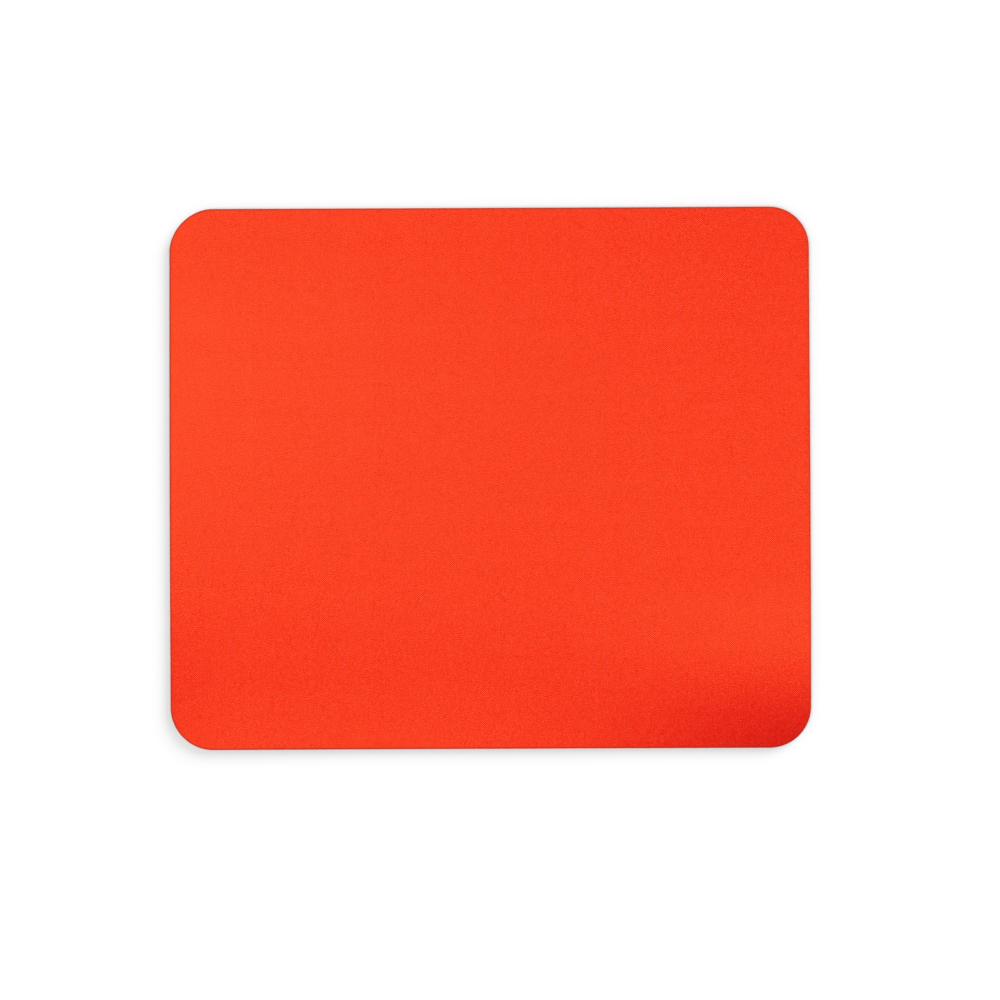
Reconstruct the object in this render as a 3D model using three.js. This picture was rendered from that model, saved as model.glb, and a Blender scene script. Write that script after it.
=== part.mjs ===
// Cloth mouse pad: a die-cut laminate of knitted cloth, hot-melt film and sponge rubber.
// Millimetres, +Z up. The origin lies on the desk, under the middle of the pad.
import * as THREE from "three";

// Cut line, shared by every layer
const padLength = 260;
const padWidth = 220;
const cornerRadius = 16.5;
const cornerSteps = 12;

// Layers, from the desk up
const baseThickness = 2.5;
const filmThickness = 0.1;
const clothThickness = 0.4;

// Cloth rim: the cutting die draws the knit down and thins it towards the cut
const rimWidth = 0.8;
const rimThickness = 0.12;
const rimSteps = 6;

const quarterTurn = Math.PI / 2;

const knittedCloth = new THREE.MeshStandardMaterial({ color: 0xfa4425, roughness: 0.9, metalness: 0 });
const hotMeltFilm = new THREE.MeshStandardMaterial({ color: 0x6b4a3c, roughness: 0.35, metalness: 0 });
const spongeRubber = new THREE.MeshStandardMaterial({ color: 0x1d1d1f, roughness: 0.85, metalness: 0 });

// The cut line drawn in by an inset. Its corners keep their centres, so all rings stay parallel.
function cutLine(inset) {
  const centreX = padLength / 2 - cornerRadius;
  const centreY = padWidth / 2 - cornerRadius;
  const sides = [[1, 1], [-1, 1], [-1, -1], [1, -1]];
  const outline = new THREE.Shape();
  sides.forEach(([sideX, sideY], corner) => {
    const start = corner * quarterTurn;
    outline.absarc(sideX * centreX, sideY * centreY, cornerRadius - inset, start, start + quarterTurn);
  });
  return outline.getPoints(cornerSteps);
}

// Edge of a layer that the die cut square: points of (inset, height) from the underside up.
function squareEdge(thickness) {
  return [new THREE.Vector2(0, 0), new THREE.Vector2(0, thickness)];
}

// Edge of the cloth: a thin cut face, then a quarter of an ellipse up to the flat of the sheet.
function drawnEdge() {
  const rise = clothThickness - rimThickness;
  const roll = new THREE.EllipseCurve(rimWidth, rimThickness, rimWidth, rise, Math.PI, quarterTurn, true);
  return [new THREE.Vector2(0, 0), ...roll.getPoints(rimSteps)];
}

// Sweeps an edge round the cut line, and closes the sheet with a flat face below and above.
function cutLayer(edge) {
  const rings = edge.map(({ x: inset, y: height }) =>
    cutLine(inset).map((point) => new THREE.Vector3(point.x, point.y, height)),
  );
  const around = rings[0].length;
  const lastRing = (rings.length - 1) * around;
  const underMiddle = rings.length * around;
  const topMiddle = underMiddle + 1;
  const middles = [edge.at(0), edge.at(-1)].map(({ y: height }) => new THREE.Vector3(0, 0, height));
  const faces = [];
  for (let here = 0; here < around; here++) {
    const next = (here + 1) % around;
    faces.push(underMiddle, next, here);
    faces.push(topMiddle, lastRing + here, lastRing + next);
    for (let low = 0; low < lastRing; low += around) {
      const high = low + around;
      faces.push(low + here, low + next, high + next);
      faces.push(low + here, high + next, high + here);
    }
  }
  return new THREE.BufferGeometry().setFromPoints([...rings.flat(), ...middles]).setIndex(faces);
}

function layer(name, edge, seat, material) {
  const mesh = new THREE.Mesh(cutLayer(edge), material);
  mesh.name = name;
  mesh.position.z = seat;
  mesh.geometry.computeVertexNormals();
  return mesh;
}

const pad = new THREE.Group();
pad.add(layer("rubber_base", squareEdge(baseThickness), 0, spongeRubber));
pad.add(layer("adhesive_film", squareEdge(filmThickness), baseThickness, hotMeltFilm));
pad.add(layer("cloth_top", drawnEdge(), baseThickness + filmThickness, knittedCloth));

export default pad;
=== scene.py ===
import math

import bpy
import numpy as np
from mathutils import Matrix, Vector, noise


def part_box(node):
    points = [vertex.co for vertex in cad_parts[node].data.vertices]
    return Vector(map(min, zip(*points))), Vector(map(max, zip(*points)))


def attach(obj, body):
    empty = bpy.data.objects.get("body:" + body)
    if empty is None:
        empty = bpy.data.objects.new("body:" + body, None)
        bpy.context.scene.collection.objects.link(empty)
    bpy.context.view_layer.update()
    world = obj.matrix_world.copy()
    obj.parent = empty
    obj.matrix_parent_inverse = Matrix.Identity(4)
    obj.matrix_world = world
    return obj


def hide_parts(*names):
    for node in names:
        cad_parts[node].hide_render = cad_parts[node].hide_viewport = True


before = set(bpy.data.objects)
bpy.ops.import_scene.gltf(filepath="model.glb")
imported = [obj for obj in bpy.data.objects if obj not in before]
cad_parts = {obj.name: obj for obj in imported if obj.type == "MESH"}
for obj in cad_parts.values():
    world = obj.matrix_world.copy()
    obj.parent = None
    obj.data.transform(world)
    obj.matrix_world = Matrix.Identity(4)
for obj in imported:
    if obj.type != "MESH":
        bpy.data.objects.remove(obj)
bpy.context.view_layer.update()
print("frame:", ", ".join(sorted(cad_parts)))

mm = 0.001
fullTurn = 2 * math.pi
baseLow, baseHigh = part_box("rubber_base")
filmLow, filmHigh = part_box("adhesive_film")
clothLow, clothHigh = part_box("cloth_top")


# Node trees

class Wire:
    # one socket of a tree, so that node maths reads as plain arithmetic
    def __init__(self, net, socket):
        self.net = net
        self.socket = socket

    def also(self, output):
        # another output of the same node
        return Wire(self.net, self.socket.node.outputs[output])

    def calc(self, operation, *others):
        return self.net.node("ShaderNodeMath", {"operation": operation}, (self, *others))

    def swapped(self, operation, other):
        return self.net.node("ShaderNodeMath", {"operation": operation}, (other, self))

    def __add__(self, other):
        return self.calc("ADD", other)

    def __radd__(self, other):
        return self.swapped("ADD", other)

    def __sub__(self, other):
        return self.calc("SUBTRACT", other)

    def __rsub__(self, other):
        return self.swapped("SUBTRACT", other)

    def __mul__(self, other):
        return self.calc("MULTIPLY", other)

    def __rmul__(self, other):
        return self.swapped("MULTIPLY", other)

    def __truediv__(self, other):
        return self.calc("DIVIDE", other)

    def __rtruediv__(self, other):
        return self.swapped("DIVIDE", other)


class Net:
    # one node tree; every node comes from its type, its settings and what goes into its sockets
    def __init__(self, tree):
        self.tree = tree
        tree.nodes.clear()

    def node(self, kind, settings=None, inputs=(), output=0):
        made = self.tree.nodes.new(kind)
        for key, value in (settings or {}).items():
            if key == "stops":
                fillRamp(made.color_ramp, value)
            else:
                setattr(made, key, value)
        pairs = inputs.items() if isinstance(inputs, dict) else enumerate(inputs)
        for key, value in pairs:
            if isinstance(value, Wire):
                self.tree.links.new(value.socket, made.inputs[key])
            else:
                made.inputs[key].default_value = value
        return None if output is None else Wire(self, made.outputs[output])

    def split(self, vector):
        # x and y; nothing here needs z
        parts = self.node("ShaderNodeSeparateXYZ", None, (vector,))
        return parts, parts.also(1)

    def join(self, x, y, z):
        return self.node("ShaderNodeCombineXYZ", None, (x, y, z))

    def tint(self, colour, amount):
        # a colour made darker by a value
        scale = {"operation": "SCALE"}
        return self.node("ShaderNodeVectorMath", scale, {"Vector": colour, "Scale": amount})

    def ramp(self, value, stops):
        # a colour for each value, with the stops in the value's own units
        low = stops[0][0]
        span = stops[-1][0] - low
        even = [((at - low) / span, colour) for at, colour in stops]
        return self.node("ShaderNodeValToRGB", {"stops": even}, ((value - low) / span,))

    def blend(self, share, first, second):
        # from one colour to another
        return self.node("ShaderNodeMix", {"data_type": "RGBA"}, {0: share, 6: first, 7: second}, 2)

    def ease(self, value, start, end):
        # 0 before start, 1 after end, smooth between
        smooth = {"interpolation_type": "SMOOTHSTEP"}
        return self.node("ShaderNodeMapRange", smooth, (value, start, end, 0, 1))


def fillRamp(ramp, stops):
    while len(ramp.elements) < len(stops):
        ramp.elements.new(1)
    for element, (position, colour) in zip(ramp.elements, stops):
        element.position = position
        element.color = (*colour, 1)


def newMaterial(name):
    material = bpy.data.materials.new(name)
    material.use_nodes = True
    return material, Net(material.node_tree)


def finishMaterial(net, inputs):
    shader = net.node("ShaderNodeBsdfPrincipled", None, inputs)
    net.node("ShaderNodeOutputMaterial", None, {"Surface": shader}, None)


def newTree(name, inputs):
    # an empty Geometry Nodes tree with named inputs, and the wires that they arrive on
    tree = bpy.data.node_groups.new(name, "GeometryNodeTree")
    tree.interface.new_socket(name="Geometry", in_out="OUTPUT", socket_type="NodeSocketGeometry")
    for label, kind in inputs.items():
        tree.interface.new_socket(name=label, in_out="INPUT", socket_type="NodeSocket" + kind)
    net = Net(tree)
    first = net.node("NodeGroupInput")
    return net, {label: first.also(label) for label in inputs}


def endTree(net, instances, material):
    solid = net.node("GeometryNodeRealizeInstances", None, {"Geometry": instances})
    dressed = net.node("GeometryNodeSetMaterial", None, {"Geometry": solid, "Material": material})
    net.node("NodeGroupOutput", None, {"Geometry": dressed}, None)


def growPiece(name, net, values):
    # runs a tree once and keeps what it grew as a plain mesh
    piece = bpy.data.objects.new(name, bpy.data.meshes.new(name))
    bpy.context.collection.objects.link(piece)
    grower = piece.modifiers.new("grow", "NODES")
    grower.node_group = net.tree
    for item in net.tree.interface.items_tree:
        if item.in_out == "INPUT":
            grower[item.identifier] = values[item.name]
    grown = piece.evaluated_get(bpy.context.evaluated_depsgraph_get())
    mesh = bpy.data.meshes.new_from_object(grown)
    piece.modifiers.remove(grower)
    piece.data = mesh
    settle(mesh)
    print(name, "grown:", len(mesh.polygons), "faces")
    return piece


# How the pad lies: after being rolled up for storage a sheet is never quite flat

lie = {
    "swell": 0.7 * mm,                      # a low swell beside the near right corner
    "swellAt": (88 * mm, -58 * mm),
    "swellSpread": (50 * mm, 27 * mm),
    "curls": [                              # corner, height and reach of each curl
        ((1, 1), 0.5 * mm, 46 * mm),
        ((-1, -1), 0.45 * mm, 60 * mm),
    ],
    "ripple": 0.12 * mm,                    # slow waves along the edges, soon gone further in
    "rippleLength": 118 * mm,
    "ripplePhase": (1, 2),
    "rippleFade": 6,
    "bow": 0.28 * mm,                       # the short sides stand out a little halfway along
    "trims": {                              # how much closer the die came in at each corner
        (1, 1): -0.12 * mm,
        (-1, 1): 0.68 * mm,
        (-1, -1): 0.36 * mm,
        (1, -1): 0.13 * mm,
    },
}


def riseAt(x, y):
    swellX = (x - lie["swellAt"][0]) / lie["swellSpread"][0]
    swellY = (y - lie["swellAt"][1]) / lie["swellSpread"][1]
    rise = lie["swell"] * np.exp(-swellX ** 2 - swellY ** 2)
    for (sideX, sideY), height, reach in lie["curls"]:
        away = np.hypot(x - sideX * clothHigh.x, y - sideY * clothHigh.y)
        rise = rise + height * np.exp(-(away / reach) ** 2)
    nearEdge = np.maximum(np.abs(x) / clothHigh.x, np.abs(y) / clothHigh.y) ** lie["rippleFade"]
    phaseX, phaseY = lie["ripplePhase"]
    waveX = np.sin(fullTurn * x / lie["rippleLength"] + phaseX)
    waveY = np.sin(fullTurn * y / lie["rippleLength"] + phaseY)
    return rise + lie["ripple"] * nearEdge * (1 + (waveX + waveY) / 2)


def pointsOf(mesh):
    flat = np.empty(len(mesh.vertices) * 3)
    mesh.vertices.foreach_get("co", flat)
    return flat.reshape(-1, 3)


def beyondCorners(x, y):
    # how far points lie past the centres of the corner arcs, along each side and in all
    outX = np.maximum(np.abs(x) - clothHigh.x + cut["cornerRadius"], 0)
    outY = np.maximum(np.abs(y) - clothHigh.y + cut["cornerRadius"], 0)
    return outX, outY, np.hypot(outX, outY)


def settle(mesh):
    # lays a mesh of the flat pad the way the pad lies
    points = pointsOf(mesh)
    x, y = points[:, 0].copy(), points[:, 1].copy()
    points[:, 2] += riseAt(x, y)
    points[:, 0] *= 1 + lie["bow"] / clothHigh.x * (1 - (y / clothHigh.y) ** 2)
    outX, outY, reach = beyondCorners(x, y)
    reach = np.maximum(reach, 0.001 * mm)   # on the flat it would be nothing, and it divides below
    # 1 at the middle of a corner's arc, 0 at its two ends
    share = ((outX + outY) / reach - 1) / (math.sqrt(2) - 1) * (reach / cut["cornerRadius"]) ** 2
    for (sideX, sideY), trim in lie["trims"].items():
        here = np.where((sideX * x > 0) & (sideY * y > 0), trim * share, 0)
        points[:, 0] -= here * sideX * outX / reach
        points[:, 1] -= here * sideY * outY / reach
    mesh.vertices.foreach_set("co", points.ravel())
    mesh.update()


# Die-cut layers: a square grid over the flat, rings that follow the cut line, and the same grid below

cut = {
    "cornerRadius": 16.5 * mm,
    "gridStep": 3 * mm,
    "cornerSteps": 14,           # of the layers round a corner
    "filletPoints": 24,          # of the line that the cut ends stand on, round a corner
    "smoothAngle": math.radians(40),
}


def outlineAnchors(columns, rows):
    # once round the grid's rim from the middle of the right side: grid place and outward angle
    corners = [((columns, rows), 0), ((0, rows), 1), ((0, 0), 2), ((columns, 0), 3)]
    sides = [
        [(columns, row) for row in range(1, rows)],
        [(column, rows) for column in range(columns - 1, 0, -1)],
        [(0, row) for row in range(rows - 1, 0, -1)],
        [(column, 0) for column in range(1, columns)],
    ]
    anchors = []
    for side, (corner, quarter) in zip(sides, corners):
        anchors += [(*place, quarter * math.pi / 2) for place in side]
        for step in range(cut["cornerSteps"] + 1):
            anchors.append((*corner, (quarter + step / cut["cornerSteps"]) * math.pi / 2))
    return anchors


def bridge(inner, outer, around):
    # faces between two rings; where one ring is cut finer, a face takes in all its points
    innerParts = len(inner) // around
    outerParts = len(outer) // around
    if innerParts == outerParts:
        around *= innerParts
        innerParts = outerParts = 1
    faces = []
    for here in range(around):
        near = [inner[(here * innerParts + k) % len(inner)] for k in range(innerParts, -1, -1)]
        far = [outer[(here * outerParts + k) % len(outer)] for k in range(outerParts + 1)]
        face = list(dict.fromkeys(far + near))
        if len(face) > 2:
            faces.append(face)
    return faces


def layerPiece(name, profile, material):
    # profile: (inset, height, parts) from the middle of the top, over the edge, to the middle below
    spanX = clothHigh.x - cut["cornerRadius"]
    spanY = clothHigh.y - cut["cornerRadius"]
    columns = round(2 * spanX / cut["gridStep"])
    rows = round(2 * spanY / cut["gridStep"])
    gridX = np.linspace(-spanX, spanX, columns + 1)
    gridY = np.linspace(-spanY, spanY, rows + 1)
    anchors = outlineAnchors(columns, rows)
    around = len(anchors)
    closed = anchors + [(*anchors[0][:2], fullTurn)]
    anchorX = [gridX[column] for column, row, angle in closed]
    anchorY = [gridY[row] for column, row, angle in closed]
    anchorAngle = [angle for column, row, angle in closed]

    def ring(inset, height, parts):
        along = np.arange(around * parts) / parts
        angle = np.interp(along, range(around + 1), anchorAngle)
        reach = cut["cornerRadius"] - inset
        x = np.interp(along, range(around + 1), anchorX) + reach * np.cos(angle)
        y = np.interp(along, range(around + 1), anchorY) + reach * np.sin(angle)
        return np.column_stack((x, y, np.full(len(x), height)))

    def grid(height):
        x, y = np.meshgrid(gridX, gridY, indexing="ij")
        return np.column_stack((x.ravel(), y.ravel(), np.full(x.size, height)))

    def gridIndex(column, row):
        return column * (rows + 1) + row

    top, *edge, under = profile
    blocks = [grid(top[1])] + [ring(*entry) for entry in edge] + [grid(under[1])]
    starts = np.cumsum([0] + [len(block) for block in blocks])
    rim = [gridIndex(column, row) for column, row, angle in anchors]
    loops = [list(range(start, start + len(block))) for start, block in zip(starts, blocks)]
    loops[0] = rim
    loops[-1] = [int(starts[-2]) + index for index in rim]
    faces = []
    for inner, outer in zip(loops, loops[1:]):
        faces += bridge(inner, outer, around)
    for column in range(columns):
        for row in range(rows):
            square = [gridIndex(column + a, row + b) for a, b in ((0, 0), (1, 0), (1, 1), (0, 1))]
            faces.append(square)
            faces.append([int(starts[-2]) + index for index in reversed(square)])
    mesh = bpy.data.meshes.new(name)
    mesh.from_pydata(np.vstack(blocks).tolist(), [], faces)
    mesh.materials.append(material)
    mesh.polygons.foreach_set("use_smooth", [True] * len(mesh.polygons))
    mesh.set_sharp_from_angle(angle=cut["smoothAngle"])
    piece = bpy.data.objects.new(name, mesh)
    bpy.context.collection.objects.link(piece)
    print(name, "laid out:", len(mesh.polygons), "faces")
    return piece


# Knitted cloth: fine interlock, its columns of stitches half a stitch apart

knit = {
    "wale": 0.473 * mm,          # one column of stitches
    "course": 0.833 * mm,        # one stitch along its column
    "slant": 0.3,                # lean of a stitch's two legs
    "drift": 0.2 * mm,           # the columns and rows don't run quite straight
    "driftSpan": 24 * mm,
    "dye": [                     # deep to pale: the colour for each tone, of the dye and of the painted light and shade
        (-0.6, (0.75, 0.0043, 0.0030)),
        (0.0, (0.866, 0.0102, 0.0051)),
        (0.2, (0.914, 0.0222, 0.0076)),
        (0.5, (0.960, 0.0432, 0.0117)),
        (0.72, (0.986, 0.0615, 0.0155)),
        (1.0, (1.0, 0.0868, 0.0203)),
        (1.4, (1.0, 0.1205, 0.0278)),
    ],
    "toneLevel": 0.59,               # where the cloth as a whole sits on that scale
    "lightAndShadePatches": [                 # painted light and shade: where the sheet is painted paler as if lit more, or deeper as if in shade: place, spread and how much, in mm
        ((-170, 42), (145, 62), 0.24),
        ((117, -67), (62, 23), 0.25),
        ((-120, -77), (300, 27), -0.124),
        ((130, -124), (81, 45), -0.75),
        ((131, 115), (111, 65), -0.136),
        ((-131, -90), (16, 26), -0.1),
        ((137, -113), (22, 18), -0.12),
    ],
    "deepShade": 0.36,           # painted shade: where the patches paint deep shade the cloth is darkened as well
    "gapShade": 0.43,             # painted shade between the stitches, and painted light on their crests
    "tightness": (-0.2, 2.2),    # times that, from a tight stitch to a slack one
    "speckTone": 0.47,           # from one bit of yarn to the next
    "speckPower": 2.5,           # few bits are much deeper than the rest
    "speckMean": 0.29,
    "clump": 0.6 * mm,           # fibres of the yarn lie in clumps
    "clumpTone": 0.64,
    "clumpMean": 0.45,
    "paintedGlintBlue": 1.0,             # painted glint: paler bits of yarn get more blue, as if their fibres glinted
    "rowLines": (0.12, 11 * mm, 0.62),    # faint lines along the rows: how much, how broad, how rough
    "columnLines": (0.1, 12 * mm, 0.7),
    "lineLength": 40,            # a line is so much longer than it is broad
    "lineDetail": 5,
    "rimShadeColour": (0.25, 0.041, 0.025, 1),      # painted shade along the rolled rim, just inside the cut
    "core": (1.0, 0.28, 0.15, 1),         # the cut ends of the yarn show its paler core
    "coreTone": 0.7,             # and some loops are cut open more than others
    "strandHeight": 0.42,        # shares of the strands and of their two legs in the relief
    "legHeight": 0.08,
    "relief": 0.05 * mm,
    "reliefStrength": 0.42,
    "roughness": (0.78, 0.92),   # from one bit of yarn to the next
    "specular": 0.06,
    "sheen": 0.06,
    "sheenRoughness": 0.5,
    "sheenTint": (1, 0.3, 0.16, 1),
}


def paintedLightAndShade(x, y):
    # painted light and shade over the sheet: paler patches stand for more light, deeper ones for shade
    toneLevel = knit["toneLevel"]
    for (atX, atY), (spreadX, spreadY), much in knit["lightAndShadePatches"]:
        besideX = (x - atX * mm) / (spreadX * mm)
        besideY = (y - atY * mm) / (spreadY * mm)
        toneLevel = toneLevel + ((besideX * besideX + besideY * besideY) * -1).calc("EXPONENT") * much
    return toneLevel


def faintLines(net, along, across, look):
    # one yarn is never quite like the next, so lines come and go, from broad to as fine as a yarn
    much, breadth, roughness = look
    lines = net.node("ShaderNodeTexNoise", {"noise_dimensions": "2D"}, {
        "Vector": net.join(across / breadth, along / (breadth * knit["lineLength"]), 0),
        "Scale": 1,
        "Detail": knit["lineDetail"],
        "Roughness": roughness,
    })
    return (lines - 0.5) * much


def knitMaterial():
    material, net = newMaterial("knittedCloth")
    place = net.node("ShaderNodeTexCoord", None, (), "Object")
    x, y = net.split(place)
    wander = {"Vector": place, "Scale": 1 / knit["driftSpan"], "Detail": 1}
    slowX, slowY = net.split(net.node("ShaderNodeTexNoise", None, wander, "Color"))
    u = (x + (slowX - 0.5) * knit["drift"]) / knit["wale"]
    column = u.calc("FLOOR")
    across = u - column - 0.5
    lean = across.calc("ABSOLUTE") * (2 * knit["slant"])
    stagger = column.calc("FLOORED_MODULO", 2) * 0.5
    v = (y + (slowY - 0.5) * knit["drift"]) / knit["course"] + stagger + lean
    strand = (v * fullTurn).calc("COSINE")
    leg = (across * (2 * fullTurn)).calc("COSINE") * -1
    height = strand * knit["strandHeight"] + leg * knit["legHeight"]
    bit = net.join((u * 2).calc("FLOOR"), (v * 2).calc("FLOOR"), 0)
    yarn = net.node("ShaderNodeTexWhiteNoise", {"noise_dimensions": "2D"}, {"Vector": bit})
    speck = yarn.calc("POWER", knit["speckPower"])
    stitch = net.join(column, v.calc("FLOOR"), 1)
    loose = net.node("ShaderNodeTexWhiteNoise", {"noise_dimensions": "3D"}, {"Vector": stitch})
    flat = {"voronoi_dimensions": "2D"}
    clump = net.node("ShaderNodeTexVoronoi", flat, {"Vector": place, "Scale": 1 / knit["clump"]})
    pressed = net.node("ShaderNodeAttribute", {"attribute_name": "pressed"}, (), "Fac")
    frayed = net.node("ShaderNodeAttribute", {"attribute_name": "frayed"}, (), "Fac")
    # painted light and shade over the sheet, from the patches above
    toneLevel = paintedLightAndShade(x, y)
    tight, slack = knit["tightness"]
    # painted shade in the gaps between the stitches, lighter on their crests
    tone = toneLevel + strand * (tight + loose * (slack - tight)) * knit["gapShade"]
    tone = tone + (clump - knit["clumpMean"]) * knit["clumpTone"]
    tone = tone - (speck - knit["speckMean"]) * knit["speckTone"]
    tone = tone + faintLines(net, x, y, knit["rowLines"]) + faintLines(net, y, x, knit["columnLines"])
    # painted glint: more blue where the yarn is paler
    blue = (1 + (tone - toneLevel) * knit["paintedGlintBlue"]).calc("MAXIMUM", 0)
    dyedAndShaded = net.node("ShaderNodeVectorMath", {"operation": "MULTIPLY"}, (
        net.ramp(tone, knit["dye"]),
        net.join(1, 1, blue),
    ))
    # painted shade: darker still where the patches lie deep
    lack = (knit["toneLevel"] - toneLevel).calc("MAXIMUM", 0)
    shade = lack * lack * knit["deepShade"]
    opened = frayed * (1 - loose * knit["coreTone"])
    # painted shade along the rolled rim, then the paler core of the cut ends
    colour = net.blend(opened, net.blend(pressed, dyedAndShaded, knit["rimShadeColour"]), knit["core"])
    colour = net.tint(colour, 1 - shade)
    relief = {"Height": height, "Distance": knit["relief"], "Strength": knit["reliefStrength"]}
    least, most = knit["roughness"]
    finishMaterial(net, {
        "Base Color": colour,
        "Roughness": least + yarn * (most - least),
        "Normal": net.node("ShaderNodeBump", None, relief),
        "Specular IOR Level": knit["specular"],
        "Sheen Weight": knit["sheen"],
        "Sheen Roughness": knit["sheenRoughness"],
        "Sheen Tint": knit["sheenTint"],
    })
    return material


clothEdge = {
    "rimWidth": 0.8 * mm,        # the die drew the knit down over this width
    "rimThickness": 0.12 * mm,
    "rimSteps": 10,
    "rimShadeAt": 0.39 * mm,      # painted shade: a darker line just inside the cut, where the rim rolls down
    "rimShadeWidth": 0.29 * mm,
    "rimShadeShare": 0.62,
    "frayedWidth": 0.14 * mm,    # the outermost loops are cut open
    # rings of the upper face, closer together towards the rim, and the one ring below
    "insets": [13 * mm, 10 * mm, 7.5 * mm, 5 * mm, 3.2 * mm, 2 * mm, 1.3 * mm],
    "underInset": 2 * mm,
}


def mark(mesh, name, shares):
    # a share for each point, which the cloth's material reads by its name
    attribute = mesh.attributes.new(name, "FLOAT", "POINT")
    attribute.data.foreach_set("value", np.ascontiguousarray(shares, dtype=np.float32))


def insetOf(mesh):
    # distance of each point from the cut line
    x, y = pointsOf(mesh).T[:2]
    return cut["cornerRadius"] - beyondCorners(x, y)[2]


def clothPiece(material):
    top = clothHigh.z
    rimHeight = clothLow.z + clothEdge["rimThickness"]
    profile = [(cut["cornerRadius"], top, 1)]
    profile += [(inset, top, 1) for inset in clothEdge["insets"]]
    for step in range(clothEdge["rimSteps"] + 1):
        turn = step / clothEdge["rimSteps"] * math.pi / 2
        inset = clothEdge["rimWidth"] * (1 - math.sin(turn))
        profile.append((inset, rimHeight + (top - rimHeight) * math.cos(turn), 1))
    profile += [(inset, clothLow.z, 1) for inset in (0, clothEdge["underInset"], cut["cornerRadius"])]
    piece = layerPiece("knitFace", profile, material)
    inset = insetOf(piece.data)
    # painted shade along the rim, which the cloth's material reads
    fromLine = (inset - clothEdge["rimShadeAt"]) / clothEdge["rimShadeWidth"]
    mark(piece.data, "pressed", clothEdge["rimShadeShare"] * np.exp(-fromLine ** 2))
    mark(piece.data, "frayed", np.exp(-(inset / clothEdge["frayedWidth"]) ** 2))
    return piece


# Hot-melt film: only its edge shows, as a thin smoky line

film = {
    "colour": (0.147, 0.069, 0.045),
    "paler": 1.7,                # times that colour where the film is thin
    "clouds": 900,               # patches of thick and thin to a metre
    "cloudRange": (0.3, 0.75),
    "roughness": (0.28, 0.53),
    "specular": 0.35,
    "bead": 0.03 * mm,           # how far it was squeezed out past the cut
    "beadDepth": 0.05 * mm,      # how far inside the cut the bead begins
}


def filmMaterial():
    material, net = newMaterial("hotMeltFilm")
    place = net.node("ShaderNodeTexCoord", None, (), "Object")
    cloud = net.node("ShaderNodeTexNoise", None, {"Vector": place, "Scale": film["clouds"], "Detail": 3})
    thick, thin = film["cloudRange"]
    pale = [channel * film["paler"] for channel in film["colour"]]
    least, most = film["roughness"]
    finishMaterial(net, {
        "Base Color": net.ramp(cloud, [(thick, film["colour"]), (thin, pale)]),
        "Roughness": least + cloud * (most - least),
        "Specular IOR Level": film["specular"],
    })
    return material


def filmPiece(material):
    middle = (filmLow.z + filmHigh.z) / 2
    profile = [
        (cut["cornerRadius"], filmHigh.z, 1),
        (film["beadDepth"], filmHigh.z, 1),
        (-film["bead"], middle, 1),
        (film["beadDepth"], filmLow.z, 1),
        (cut["cornerRadius"], filmLow.z, 1),
    ]
    return layerPiece("bondFilm", profile, material)


# Sponge rubber: open pores where the die cut it, a smooth skin and a pressed grip below

sponge = {
    "colour": (0.012, 0.012, 0.013),
    "darkAndCellShade": 0.45,                # times that colour: painted shade down in the cells, and darker patches of the skin
    "greyed": 2.2,               # and where it is worn
    "shades": (0.25, 0.6, 1.0),  # where the dark and cell-shade colour, the plain and the greyed colour lie
    "cutLook": {                 # how grey the cut wall is, and what makes it greyer
        "plain": 0.15,
        # painted shade: darker down in the cells, greyer on their walls
        "pits": 0.35,
        "dust": 0.3,
        "crumbs": 0.4,
        "relief": 0.06 * mm,
    },
    "skinLook": {
        "plain": 0.4,
        "dust": 0.3,
        "crumbs": 0.2,
        "crumbHeight": 0.3,
        "relief": 0.02 * mm,
    },
    "reliefStrength": 0.7,
    "roughness": (0.72, 0.92),
    "specular": 0.3,
    "wallParts": 8,              # fine steps along the wall for each step of the grid
    "wallLevels": 9,
    "topInset": 1.5 * mm,
    "hollow": 0.10 * mm,         # the wall draws in when the die lets go
    "pore": 0.55 * mm,           # spacing of the pits pressed into the wall
    "poreWidth": 0.55,           # half the width of a pit, as a share of that
    "poreDepth": 0.14 * mm,
    "dust": 4 * mm,
    "cell": 0.32 * mm,           # finer cells, and crumbs between them
    "cellWall": (0.1, 0.5),
    "crumb": 0.09 * mm,
    "lip": 0.7 * mm,             # plain border below, which stands on the desk round the grip
    "lipRound": 0.08 * mm,
    "treadDepth": 0.28 * mm,
}


def spongeMaterial(name, porous):
    material, net = newMaterial(name)
    place = net.node("ShaderNodeTexCoord", None, (), "Object")
    broad = {"Vector": place, "Scale": 1 / sponge["dust"], "Detail": 6}
    dust = net.node("ShaderNodeTexNoise", None, broad)
    fine = {"Vector": place, "Scale": 1 / sponge["crumb"], "Detail": 3}
    crumbs = net.node("ShaderNodeTexNoise", None, fine)
    look = sponge["cutLook"] if porous else sponge["skinLook"]
    if porous:
        # painted shade in the cells, with dust and crumbs that differ at random
        cells = net.node("ShaderNodeTexVoronoi", None, {"Vector": place, "Scale": 1 / sponge["cell"]})
        pits = net.ease(cells, *sponge["cellWall"])
        shade = look["plain"] + pits * look["pits"] + dust * look["dust"] + crumbs * look["crumbs"]
        height = pits + crumbs
    else:
        shade = look["plain"] + dust * look["dust"] + crumbs * look["crumbs"]
        height = dust + crumbs * look["crumbHeight"]
    darkAndCellShade = [channel * sponge["darkAndCellShade"] for channel in sponge["colour"]]
    greyed = [channel * sponge["greyed"] for channel in sponge["colour"]]
    relief = {"Height": height, "Distance": look["relief"], "Strength": sponge["reliefStrength"]}
    least, most = sponge["roughness"]
    finishMaterial(net, {
        "Base Color": net.ramp(shade, list(zip(sponge["shades"], (darkAndCellShade, sponge["colour"], greyed)))),
        "Roughness": least + dust * (most - least),
        "Normal": net.node("ShaderNodeBump", None, relief),
        "Specular IOR Level": sponge["specular"],
    })
    return material


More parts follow.
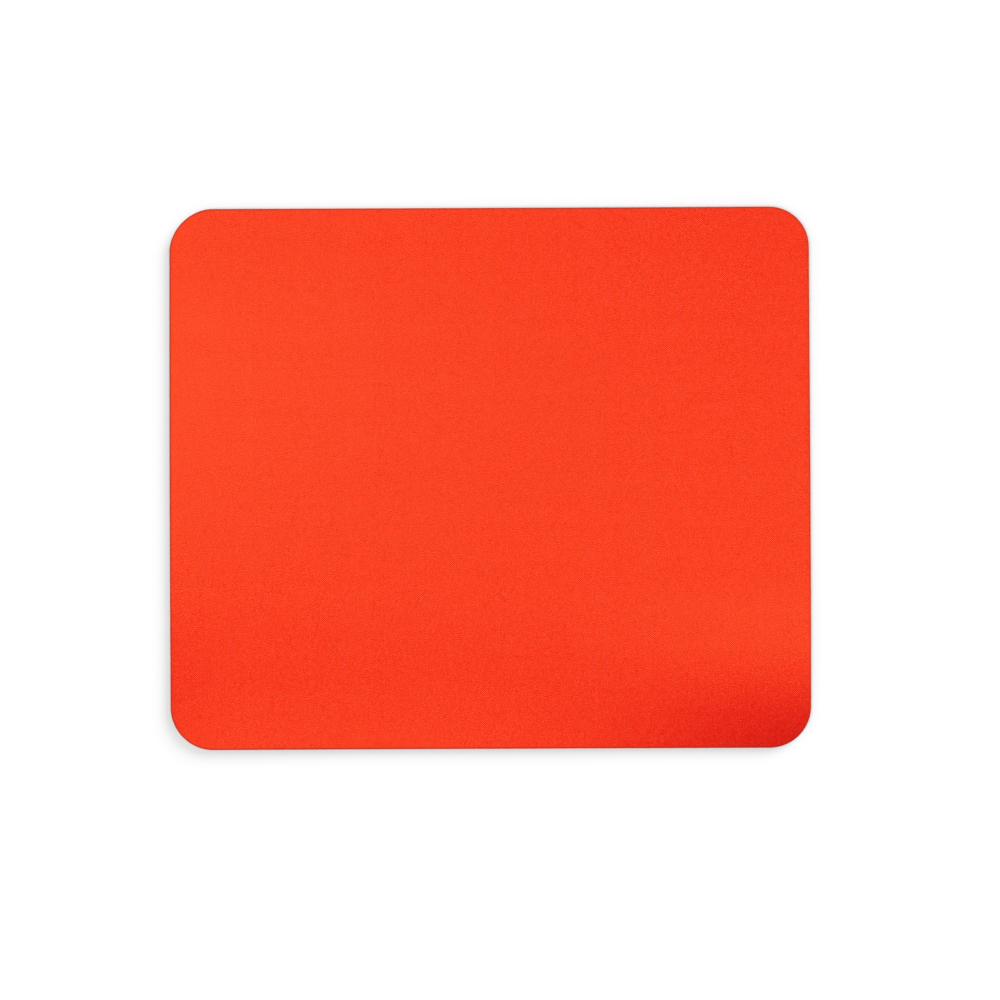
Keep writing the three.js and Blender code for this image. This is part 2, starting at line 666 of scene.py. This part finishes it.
def spongePiece(material):
    top = baseHigh.z
    foot = baseLow.z
    sole = foot + sponge["treadDepth"]
    wallFoot = foot + sponge["lipRound"]
    parts = sponge["wallParts"]
    profile = [(cut["cornerRadius"], top, 1), (sponge["topInset"], top, 1)]
    for level in range(sponge["wallLevels"] + 1):
        down = level / sponge["wallLevels"]
        inset = sponge["hollow"] * math.sin(math.pi * down)
        profile.append((inset, top + (wallFoot - top) * down, parts))
    profile += [(sponge["lipRound"], foot, parts), (sponge["lip"], foot, 1)]
    profile += [(sponge["lip"] + sponge["treadDepth"] / 2, sole, 1), (cut["cornerRadius"], sole, 1)]
    piece = layerPiece("spongeBase", profile, material)
    openPores(piece.data)
    return piece


def openPores(mesh):
    # presses pits into the cut wall, towards the inside of the sheet
    for vertex in mesh.vertices:
        spot = vertex.co
        outX = max(abs(spot.x) - clothHigh.x + cut["cornerRadius"], 0)
        outY = max(abs(spot.y) - clothHigh.y + cut["cornerRadius"], 0)
        reach = math.hypot(outX, outY)
        if cut["cornerRadius"] - reach < 2 * sponge["hollow"]:
            distance = noise.voronoi(spot / sponge["pore"])[0][0]
            pit = sponge["poreDepth"] * max(0, 1 - distance / sponge["poreWidth"])
            spot.x -= math.copysign(pit * outX / reach, spot.x)
            spot.y -= math.copysign(pit * outY / reach, spot.y)


tread = {
    "Pitch": 4.4 * mm,           # from pad to pad along a row
    "Row": 1.5 * mm,             # from row to row; every other row is half a pitch along
    "Pad": 2 * mm,               # half the length of a pad
    "Squat": 0.68,
    "Foot": 0.86,                # size of a pad where it stands on the desk
    "Root": 1.2,                 # its height, times the depth of the grip: it reaches into the sole
    "Margin": 3 * mm,            # no pad has its middle closer to the cut line
}


def treadPiece(material):
    sizes = (*tread, "Length", "Width", "Corner", "Depth")
    net, given = newTree("gripTread", {**dict.fromkeys(sizes, "Float"), "Material": "Material"})
    columns = (given["Length"] / given["Pitch"]).calc("FLOOR") + 1
    rows = (given["Width"] / given["Row"]).calc("FLOOR") + 1
    spots = net.node("GeometryNodeMeshGrid", None, {
        "Size X": (columns - 1) * given["Pitch"],
        "Size Y": (rows - 1) * given["Row"],
        "Vertices X": columns,
        "Vertices Y": rows,
    })
    x, y = net.split(net.node("GeometryNodeInputPosition"))
    row = (y / given["Row"] + (rows - 1) / 2 + 0.5).calc("FLOOR")
    shift = row.calc("FLOORED_MODULO", 2) * 0.5 * given["Pitch"]
    shifted = net.node("GeometryNodeSetPosition", None, {
        "Geometry": spots,
        "Offset": net.join(shift, 0, 0),
    })
    outX = (x.calc("ABSOLUTE") - given["Length"] / 2 + given["Corner"]).calc("MAXIMUM", 0)
    outY = (y.calc("ABSOLUTE") - given["Width"] / 2 + given["Corner"]).calc("MAXIMUM", 0)
    away = (outX * outX + outY * outY).calc("SQRT")
    past = away.calc("GREATER_THAN", given["Corner"] - given["Margin"])
    kept = net.node("GeometryNodeDeleteGeometry", {"domain": "POINT"}, {
        "Geometry": shifted,
        "Selection": past,
    })
    lozenge = net.node("GeometryNodeMeshCone", None, {
        "Vertices": 4,
        "Radius Bottom": given["Pad"] * given["Foot"],
        "Radius Top": given["Pad"],
        "Depth": given["Depth"] * given["Root"],
    })
    pads = net.node("GeometryNodeInstanceOnPoints", None, {
        "Points": kept,
        "Instance": lozenge,
        "Scale": net.join(1, given["Squat"], 1),
    })
    endTree(net, pads, given["Material"])
    values = dict(tread, Material=material, Depth=sponge["treadDepth"], Corner=cut["cornerRadius"])
    values.update(Length=2 * clothHigh.x, Width=2 * clothHigh.y)
    return growPiece("gripTread", net, values)


# Cut ends of the knit: a stub of yarn for every column along the cut, and a few loose hairs

stubs = {
    "Spacing": knit["wale"],
    "Radius": 0.13 * mm,
    "Seed": 5,
    "inset": 0.10 * mm,
    "shape": (1.5, 1.25, 0.9),   # times the radius: out from the cut, along it and upwards
    "sizes": (0.75, 1.15),       # from one stub to the next
    "tilt": (-0.1, 0.5),         # radians up or down, and to the sides
    "turn": (-0.5, 0.5),
}
hairs = {
    "Spacing": 0.62 * mm,
    "Length": 0.55 * mm,
    "Thickness": 0.012 * mm,
    "Seed": 11,
    "inset": 0.10 * mm,
    "lengths": (0.4, 1),         # shares of the full length
    "spread": (-0.9, 0.9),       # radians away from straight out
    "tip": 0.3,                  # share of the thickness that is left at the tip
}


def cutLineTree(name, extra):
    # points along the cut line of the cloth, each with the way it faces
    sizes = ("Pad Length", "Pad Width", "Corner", "Height", "Spacing", *extra)
    net, given = newTree(name, {**dict.fromkeys(sizes, "Float"), "Seed": "Int", "Material": "Material"})
    box = net.node("GeometryNodeCurvePrimitiveQuadrilateral", None, {
        "Width": given["Pad Length"],
        "Height": given["Pad Width"],
    })
    line = net.node("GeometryNodeFilletCurve", {"mode": "POLY"}, {
        "Curve": box,
        "Count": cut["filletPoints"],
        "Radius": given["Corner"],
    })
    points = net.node("GeometryNodeCurveToPoints", {"mode": "LENGTH"}, {
        "Curve": line,
        "Length": given["Spacing"],
    })
    raised = net.node("GeometryNodeSetPosition", None, {
        "Geometry": points,
        "Offset": net.join(0, 0, given["Height"]),
    })
    tangent = points.also("Tangent")
    outward = net.node("ShaderNodeVectorMath", {"operation": "CROSS_PRODUCT"}, (tangent, (0, 0, -1)))
    return net, given, raised, outward


def chance(net, limits, seed):
    # a number for each point, drawn between two limits
    low, high = limits
    return net.node("FunctionNodeRandomValue", {"data_type": "FLOAT"}, {2: low, 3: high, 8: seed}, 1)


def cutLineValues(settings, inset, material):
    return {
        "Pad Length": 2 * (clothHigh.x - inset),
        "Pad Width": 2 * (clothHigh.y - inset),
        "Corner": cut["cornerRadius"] - inset,
        "Height": clothLow.z + clothEdge["rimThickness"],
        "Material": material,
        **settings,
    }


def stubPiece(material):
    net, given, points, outward = cutLineTree("yarnStubs", ["Radius"])
    facing = net.node("FunctionNodeAlignRotationToVector", {"axis": "X"}, {"Vector": outward})
    tilt = chance(net, stubs["tilt"], given["Seed"])
    turn = chance(net, stubs["turn"], given["Seed"] + 1)
    twist = net.join(0, tilt, turn)
    turned = net.node("FunctionNodeRotateRotation", {"rotation_space": "LOCAL"}, (facing, twist))
    ball = {"Segments": 6, "Rings": 4, "Radius": given["Radius"]}
    stub = net.node("GeometryNodeMeshUVSphere", None, ball)
    size = chance(net, stubs["sizes"], given["Seed"] + 2)
    placed = net.node("GeometryNodeInstanceOnPoints", None, {
        "Points": points,
        "Instance": stub,
        "Rotation": turned,
        "Scale": net.join(*(size * share for share in stubs["shape"])),
    })
    endTree(net, placed, given["Material"])
    settings = {key: stubs[key] for key in ("Spacing", "Radius", "Seed")}
    piece = growPiece("yarnStubs", net, cutLineValues(settings, stubs["inset"], material))
    piece.data.polygons.foreach_set("use_smooth", [True] * len(piece.data.polygons))
    mark(piece.data, "frayed", np.ones(len(piece.data.vertices)))
    return piece


def hairPiece(material):
    net, given, points, outward = cutLineTree("cutHairs", ["Length", "Thickness"])
    facing = net.node("FunctionNodeAlignRotationToVector", {"axis": "Z"}, {"Vector": outward})
    swayX = chance(net, hairs["spread"], given["Seed"])
    swayY = chance(net, hairs["spread"], given["Seed"] + 1)
    twist = net.join(swayX, swayY, 0)
    turned = net.node("FunctionNodeRotateRotation", {"rotation_space": "LOCAL"}, (facing, twist))
    hair = net.node("GeometryNodeMeshCone", None, {
        "Vertices": 3,
        "Side Segments": 1,
        "Radius Top": given["Thickness"] * hairs["tip"],
        "Radius Bottom": given["Thickness"],
        "Depth": given["Length"],
    })
    long = chance(net, hairs["lengths"], given["Seed"] + 2)
    placed = net.node("GeometryNodeInstanceOnPoints", None, {
        "Points": points,
        "Instance": hair,
        "Rotation": turned,
        "Scale": net.join(1, 1, long),
    })
    endTree(net, placed, given["Material"])
    settings = {key: hairs[key] for key in ("Spacing", "Length", "Thickness", "Seed")}
    return growPiece("cutHairs", net, cutLineValues(settings, hairs["inset"], material))


# The pad

clothFinish = knitMaterial()
cutFinish = spongeMaterial("spongeCut", True)
skinFinish = spongeMaterial("spongeSkin", False)

knitFace = clothPiece(clothFinish)
bondFilm = filmPiece(filmMaterial())
spongeBase = spongePiece(cutFinish)
for layer in (knitFace, bondFilm, spongeBase):
    settle(layer.data)
gripTread = treadPiece(skinFinish)
yarnStubs = stubPiece(clothFinish)
cutHairs = hairPiece(clothFinish)

for piece, slot in (
    (knitFace, "cloth"),
    (yarnStubs, "cloth"),
    (cutHairs, "cloth"),
    (bondFilm, "film"),
    (spongeBase, "base"),
    (gripTread, "base"),
):
    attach(piece, "root")
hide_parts("cloth_top")
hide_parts("adhesive_film")
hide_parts("rubber_base")
print("pad made")


# Floor, light and camera

studio = {
    "floorSize": 12,
    "floorGap": 0.02 * mm,       # so that floor and pad never share a face
    "floorColour": (0.97, 0.97, 0.97, 1),
    "floorGlow": 0.05,           # it lights nothing, and is seen so that the bare floor is white
    "ambient": 0.34,
    "lamps": {                   # azimuth and elevation of the lamp, its spread, its share of the light
        "keySun": (43, 29.5, 42, 0.2),
        "topSun": (210, 80, 40, 0.46),
    },
}
shot = {
    "lens": 85,
    "sensor": 36,
    "distance": 959.6 * mm,      # above the cloth
    "over": (4 * mm, -17.3 * mm),     # the spot that the camera hangs over
    "tilt": math.radians(0.5),   # from straight down towards the far side
    "roll": math.radians(-0.24),
}


def unlit(net):
    # 1 for the rays that should see a plain white surrounding
    camera = net.node("ShaderNodeLightPath", None, (), "Is Camera Ray")
    mirrored = camera.calc("MAXIMUM", camera.also("Is Glossy Ray"))
    return mirrored.calc("MAXIMUM", camera.also("Is Transmission Ray"))


def floorPiece():
    material, net = newMaterial("paleFloor")
    matt = net.node("ShaderNodeBsdfDiffuse", None, {"Color": studio["floorColour"]})
    glow = net.node("ShaderNodeEmission", None, {"Strength": unlit(net) * studio["floorGlow"]})
    lit = net.node("ShaderNodeAddShader", None, (matt, glow))
    clear = net.node("ShaderNodeBsdfTransparent")
    below = net.node("ShaderNodeNewGeometry", None, (), "Backfacing")
    surface = net.node("ShaderNodeMixShader", None, (below, lit, clear))
    net.node("ShaderNodeOutputMaterial", None, {"Surface": surface}, None)
    half = studio["floorSize"] / 2
    mesh = bpy.data.meshes.new("floor")
    level = baseLow.z - studio["floorGap"]
    corners = [(-half, -half, level), (half, -half, level), (half, half, level), (-half, half, level)]
    mesh.from_pydata(corners, [], [(0, 1, 2, 3)])
    mesh.materials.append(material)
    floor = bpy.data.objects.new("floor", mesh)
    bpy.context.collection.objects.link(floor)


def addLamp(name, azimuth, elevation, spread, share):
    turn = math.radians(azimuth)
    tilt = math.radians(elevation)
    towards = Vector((math.cos(tilt) * math.cos(turn), math.cos(tilt) * math.sin(turn), math.sin(tilt)))
    lamp = bpy.data.lights.new(name, "SUN")
    lamp.angle = math.radians(spread)
    lamp.energy = share * math.pi / math.sin(tilt)
    holder = bpy.data.objects.new(name, lamp)
    holder.rotation_euler = towards.to_track_quat("Z", "Y").to_euler()
    bpy.context.collection.objects.link(holder)


def whiteWorld():
    world = bpy.data.worlds.new("whiteWorld")
    world.use_nodes = True
    net = Net(world.node_tree)
    strength = studio["ambient"] + unlit(net) * (1 - studio["ambient"])
    sky = net.node("ShaderNodeBackground", None, {"Color": (1, 1, 1, 1), "Strength": strength})
    net.node("ShaderNodeOutputWorld", None, {"Surface": sky}, None)
    bpy.context.scene.world = world


def addCamera():
    lens = bpy.data.cameras.new("camera")
    lens.lens = shot["lens"]
    lens.sensor_width = shot["sensor"]
    camera = bpy.data.objects.new("camera", lens)
    camera.location = (*shot["over"], clothHigh.z + shot["distance"])
    camera.rotation_euler = (shot["tilt"], 0, shot["roll"])
    bpy.context.collection.objects.link(camera)
    bpy.context.scene.camera = camera


floorPiece()
whiteWorld()
for name, lamp in studio["lamps"].items():
    addLamp(name, *lamp)
addCamera()
bpy.context.scene.view_settings.view_transform = "Standard"
print("studio set")
